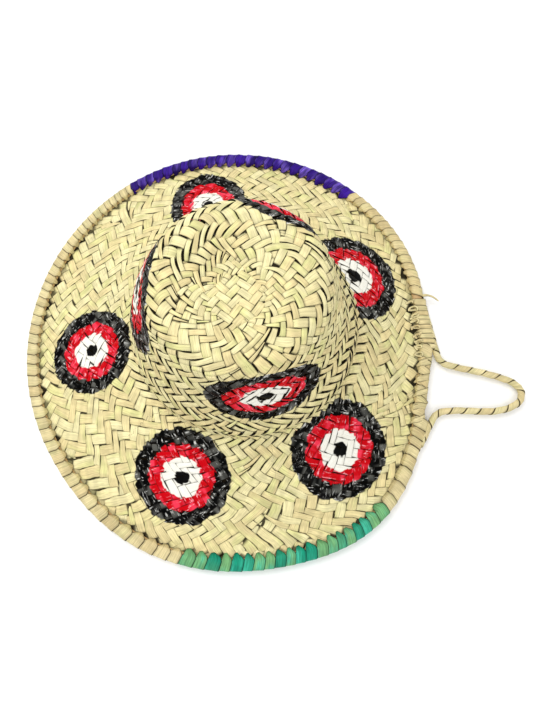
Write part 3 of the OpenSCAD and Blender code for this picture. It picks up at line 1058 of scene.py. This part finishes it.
def seams(n, grain, deep, faint=0.35):
    """Share of painted shade in the seams: dark where a strip dips, with a broken thin painted shadow line
    along its edges.
    """
    broken = n.noise(grain, (0.0, 0.16, 1.0), 1)
    gaps = n.ramp(broken, 0.35, 0.65, faint, 0.95)
    line = n.math("MULTIPLY", n.ramp(n.attribute("edge"), 0.80, 0.96), gaps)
    dip = n.ramp(deep, 0.05, 0.80, 0, 0.985)
    return n.math("MAXIMUM", line, dip)


def plait_material():
    """Palm strip with the eyes' paint on it, whose rings are shares of an eye's half-length."""
    n = Nodes("painted_palm_plait")
    pale, warm, green = linear(236, 226, 174), linear(230, 213, 158), linear(222, 218, 152)
    colour, streaks, grain = palm_colour(n, pale, warm, green)
    n.shader.inputs["Specular IOR Level"].default_value = 0.05
    deep = n.attribute("deep")
    eye = n.attribute("eye", "Vector")
    length = n.node("ShaderNodeVectorMath", operation="LENGTH")
    n.link(eye, length.inputs[0])
    ragged = n.noise(grain, (0.12, 0.12, 7.0), 2)
    reach = n.math("ADD", length.outputs["Value"], n.ramp(ragged, 0.3, 0.7, -0.035, 0.035))
    top = n.ramp(n.attribute("upside"), 0.3, 0.6)
    black, red, white, pupil = (n.math("MULTIPLY", n.ramp(reach, at + PAINT_BLUR, at - PAINT_BLUR), top)
                                for at in PAINT_EDGES)
    wear = n.ramp(streaks, 0.3, 0.8)
    # Painted highlights on the glossy black and red paint: glints along the strips and a lighter sheen on
    # some floats
    painted_glint = n.ramp(n.noise(grain, (0.55, 0.17, 3.0), 3, 0.6), 0.56, 0.72)
    painted_facet_sheen = n.ramp(n.noise(grain, (0.04, 0.13, 5.0), 1), 0.48, 0.68)
    black_paint_and_glints = n.mix(painted_glint, n.mix(painted_facet_sheen, linear(0, 0, 0), linear(88, 88, 83)), linear(212, 212, 206))
    colour = n.mix(black, colour, black_paint_and_glints)
    red_paint_and_sheen = n.mix(painted_facet_sheen, linear(196, 2, 16), linear(240, 58, 82))
    colour = n.mix(red, colour, n.mix(painted_glint, red_paint_and_sheen, linear(255, 176, 186)))
    colour = n.mix(white, colour, n.mix(wear, linear(246, 245, 236), linear(232, 228, 212)))
    colour = n.mix(pupil, colour, linear(5, 5, 5))
    # Painted shade, in dark brown, in the seams and where strips dip under others
    colour = n.mix(seams(n, grain, deep), colour, linear(20, 13, 3))
    dull = n.ramp(streaks, 0.2, 0.8, 0.48, 0.66)
    painted = n.ramp(streaks, 0.2, 0.8, 0.26, 0.42)
    rough = n.node("ShaderNodeMix", data_type="FLOAT")
    n.link(black, rough.inputs[0])
    n.link(dull, rough.inputs[2])
    n.link(painted, rough.inputs[3])
    return n.finish(colour, rough.outputs[0], streaks)


# Each strip's pale, warm and green colours, and the dark of the shade painted in its seams
PALM_COLOURS = (linear(222, 209, 160), linear(206, 186, 136), linear(204, 195, 142), linear(46, 29, 11))
# The purple's third colour is a painted highlight, standing for the gloss on the dyed strips
PURPLE_COLOURS = (linear(56, 18, 146), linear(20, 0, 70), linear(122, 94, 206), linear(5, 0, 20))
GREEN_COLOURS = (linear(14, 138, 110), linear(116, 172, 114), linear(60, 180, 150), linear(10, 40, 28))


def strip_material(name, pale, warm, green, seam_shade_colour, depth):
    """Plain or dyed strip: the three colours it drifts between, its painted seam shade's colour and its
    streaks' depth.
    """
    n = Nodes(name)
    n.shader.inputs["Specular IOR Level"].default_value = 0.12
    colour, streaks, grain = palm_colour(n, pale, warm, green, depth)
    # Painted shading across a strip: a little lighter along its middle and darker towards its edges, as if
    # rounded
    edge_shade = n.ramp(n.attribute("edge"), 0.35, 1.0, 1.04, 0.84)
    colour = n.mix(1.0, colour, edge_shade, "MULTIPLY")
    colour = n.mix(seams(n, grain, n.attribute("deep"), 0.75), colour, seam_shade_colour)
    return n.finish(colour, n.ramp(streaks, 0.2, 0.8, 0.42, 0.62), streaks)


def rib_material():
    """Split palm rib of the hidden hoops: long pale fibres round the rim."""
    n = Nodes("split_palm_rib")
    place = n.node("ShaderNodeTexCoord").outputs["Object"]
    fibres = n.noise(place, (60, 60, 2600), 3)
    colour = n.mix(fibres, linear(170, 132, 82), linear(214, 184, 132))
    return n.finish(colour, n.ramp(fibres, 0.3, 0.7, 0.5, 0.7), fibres, 0.0002)


def finish_hoops():
    """Gives the CAD hoops their material."""
    material = rib_material()
    for name in ("rim_hoop_upper", "rim_hoop_lower"):
        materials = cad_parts[name].data.materials
        materials.clear()
        materials.append(material)


# ------ build
add_camera()
add_lights()
add_floor()
PLAITED = plait_material()
add_plait(PLAITED)
add_mat(PLAITED)
PALM = strip_material("palm_binding", *PALM_COLOURS, 0.18)
PURPLE = strip_material("purple_dyed_strip", *PURPLE_COLOURS, 0.5)
GREEN = strip_material("green_dyed_strip", *GREEN_COLOURS, 0.3)
add_binding(PALM, PURPLE, GREEN)
add_lashings(PALM)
add_stitches(PALM)
add_loose_strip(PALM)
add_loop(PALM)
finish_hoops()
